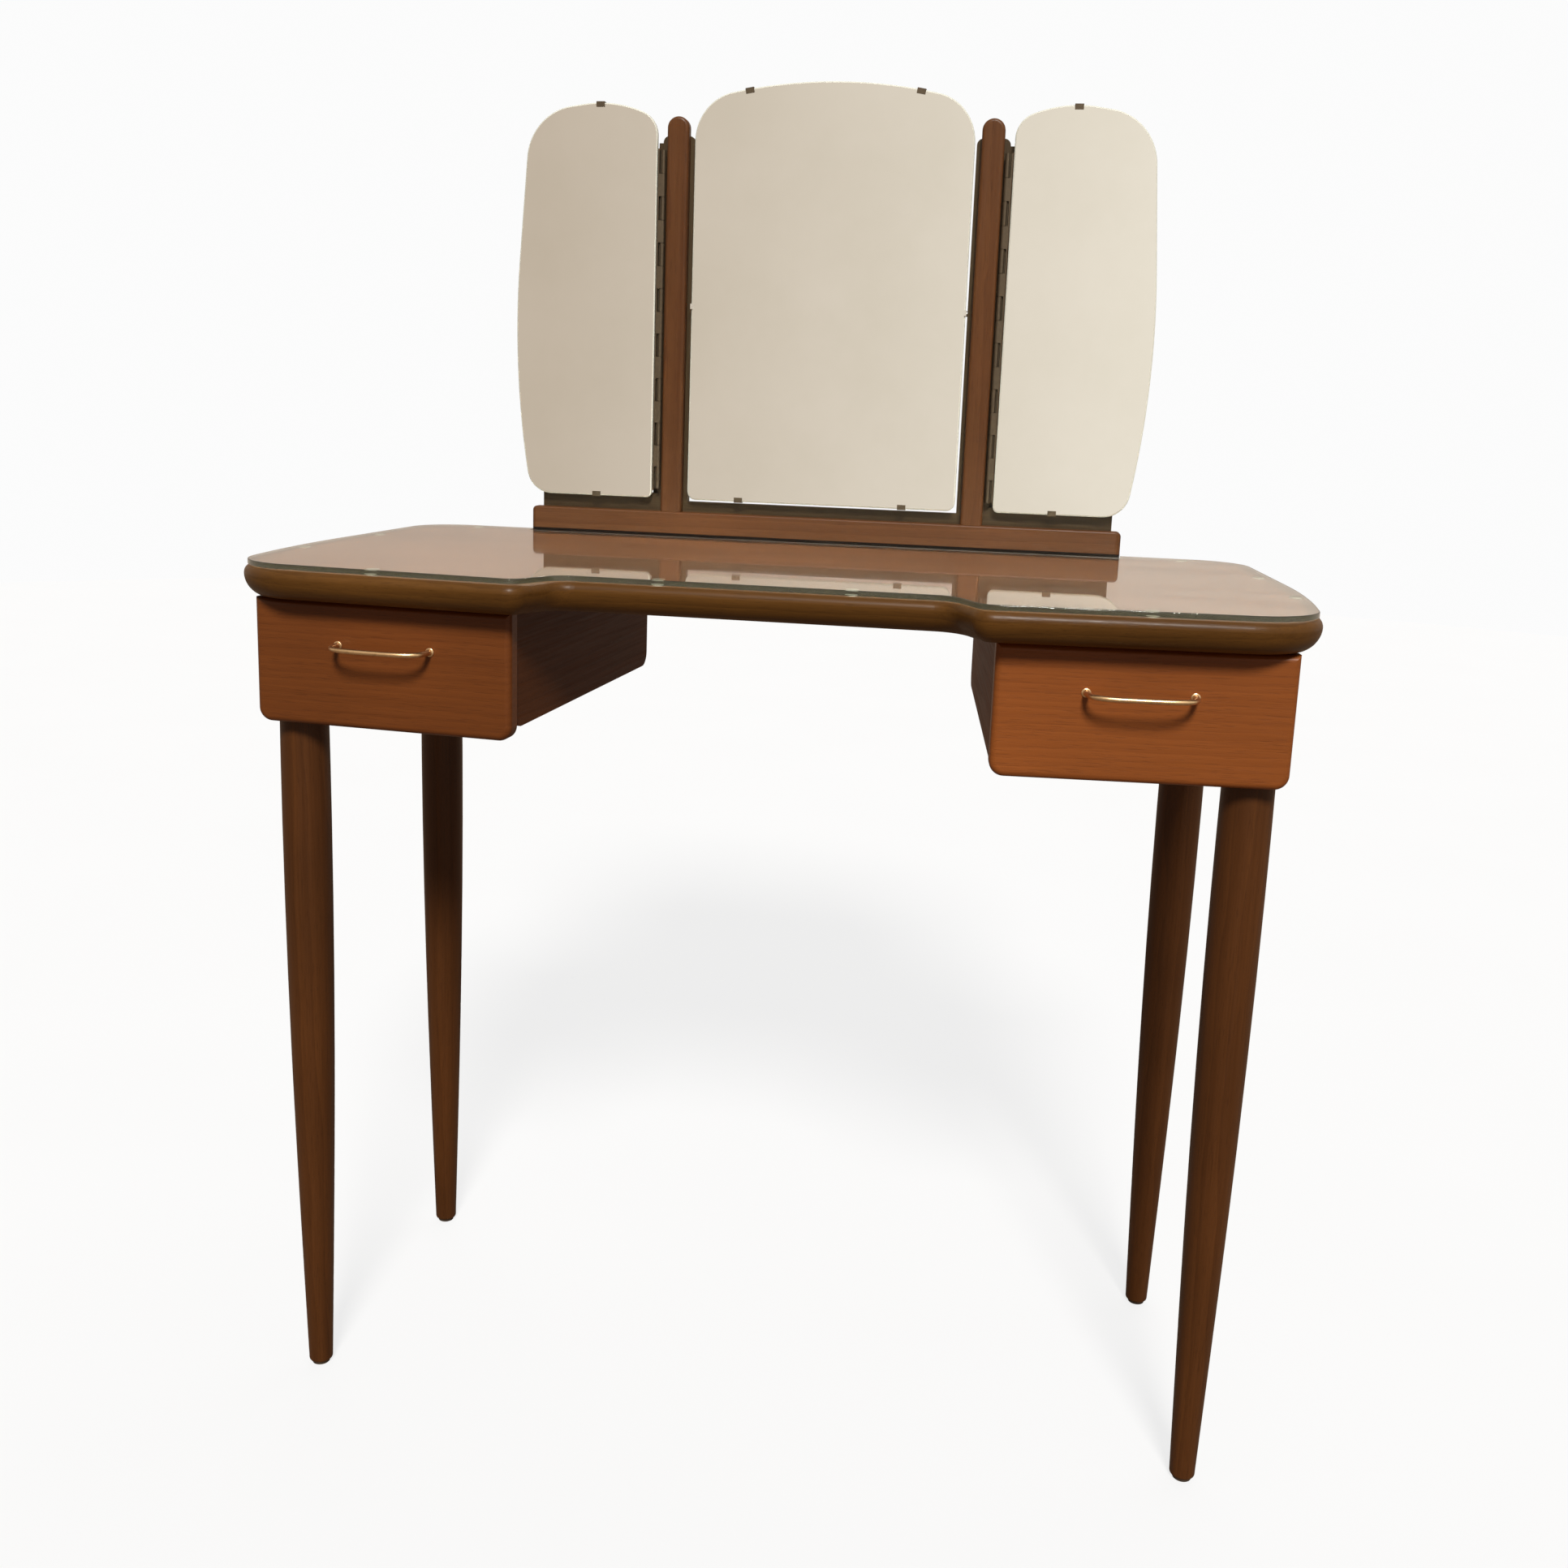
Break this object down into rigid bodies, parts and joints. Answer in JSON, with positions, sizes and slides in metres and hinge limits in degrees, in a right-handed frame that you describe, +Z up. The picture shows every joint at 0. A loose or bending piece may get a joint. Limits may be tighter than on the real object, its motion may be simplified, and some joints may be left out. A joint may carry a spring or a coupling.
{
  "type": "vanity table with mirror",
  "caption": "Kneehole vanity table with a shaped, glass-covered top, overlay-front drawers, tapered turned legs and a frameless folding mirror on posts.",
  "frame": {"origin": "on the floor, at the centre of the overall plan", "axes": "+Z up, +Y from the drawer fronts to the mirror at the back, +X to the right of the person facing the drawers"},
  "size_m": [0.8398, 0.4312, 1.1458],
  "materials": {
    "teak": "satin lacquered teak veneer",
    "top_veneer": "satin lacquered teak veneer",
    "moulding_wood": "satin lacquer on solid hardwood",
    "post_wood": "satin lacquer on solid hardwood",
    "dark_wood": "dark stained hardwood",
    "leg_wood": "satin lacquer on turned hardwood",
    "inner_wood": "plain sanded softwood and plywood",
    "backing_board": "stained plywood",
    "glass": "clear float glass with polished edges",
    "mirror": "silvered glass with ground edges",
    "brass": "polished, slightly worn",
    "bronze_metal": "dark bronzed",
    "steel": "zinc plated",
    "glide_plastic": "moulded nylon",
    "bumper_plastic": "soft milky plastic"
  },
  "bodies": {
    "table": {"top_board": "top_veneer", "edge_moulding": "moulding_wood", "glass_top": "glass", "glass_bumpers": "bumper_plastic", "plinth": "post_wood", "plinth_screws": "steel", "mirror_rail": "dark_wood", "left_stile": "dark_wood", "right_stile": "dark_wood", "left_bead": "post_wood", "right_bead": "post_wood", "pivot_pins": "steel", "left_hinge_frame_leaf": "bronze_metal", "right_hinge_frame_leaf": "bronze_metal", "left_case_inner_side": "teak", "left_case_outer_side": "teak", "left_case_bottom": "inner_wood", "left_case_back": "inner_wood", "left_front_leg": "leg_wood", "left_back_leg": "leg_wood", "right_case_inner_side": "teak", "right_case_outer_side": "teak", "right_case_bottom": "inner_wood", "right_case_back": "inner_wood", "right_front_leg": "leg_wood", "right_back_leg": "leg_wood", "runners": "inner_wood", "cleats": "inner_wood", "cleat_screws": "steel", "tee_nuts": "steel", "leg_bolts": "steel", "leg_glides": "glide_plastic"},
    "centre_mirror": {"centre_mirror": "mirror", "centre_backing": "backing_board", "centre_clips": "bronze_metal", "centre_side_clips": "steel", "centre_pivot_brackets": "steel"},
    "left_wing": {"left_wing_mirror": "mirror", "left_wing_backing": "backing_board", "left_wing_clips": "bronze_metal", "left_wing_hinge_leaf": "bronze_metal"},
    "left_drawer": {"left_drawer_front": "teak", "left_drawer_box_front": "inner_wood", "left_drawer_box_sides": "inner_wood", "left_drawer_box_back": "inner_wood", "left_drawer_box_bottom": "inner_wood", "left_handle": "brass", "left_handle_screws": "steel"},
    "right_wing": {"right_wing_mirror": "mirror", "right_wing_backing": "backing_board", "right_wing_clips": "bronze_metal", "right_wing_hinge_leaf": "bronze_metal"},
    "right_drawer": {"right_drawer_front": "teak", "right_drawer_box_front": "inner_wood", "right_drawer_box_sides": "inner_wood", "right_drawer_box_back": "inner_wood", "right_drawer_box_bottom": "inner_wood", "right_handle": "brass", "right_handle_screws": "steel"}
  },
  "joints": [
    {"name": "centre_mirror_tilt", "type": "hinge", "parent": "table", "child": "centre_mirror", "pos_m": [0, 0.21, 0.941], "axis": [1, 0, 0], "range_deg": [-10, 15]},
    {"name": "left_wing_hinge", "type": "hinge", "parent": "table", "child": "left_wing", "pos_m": [-0.1616, 0.199, 0.941], "axis": [0, 0, 1], "range_deg": [0, 100]},
    {"name": "left_drawer_slide", "type": "slide", "parent": "table", "child": "left_drawer", "axis": [-0.0785, -0.9969, 0], "range_m": [0, 0.2]},
    {"name": "right_wing_hinge", "type": "hinge", "parent": "table", "child": "right_wing", "pos_m": [0.1616, 0.199, 0.941], "axis": [0, 0, -1], "range_deg": [0, 100]},
    {"name": "right_drawer_slide", "type": "slide", "parent": "table", "child": "right_drawer", "axis": [0.0785, -0.9969, 0], "range_m": [0, 0.2]}
  ]
}
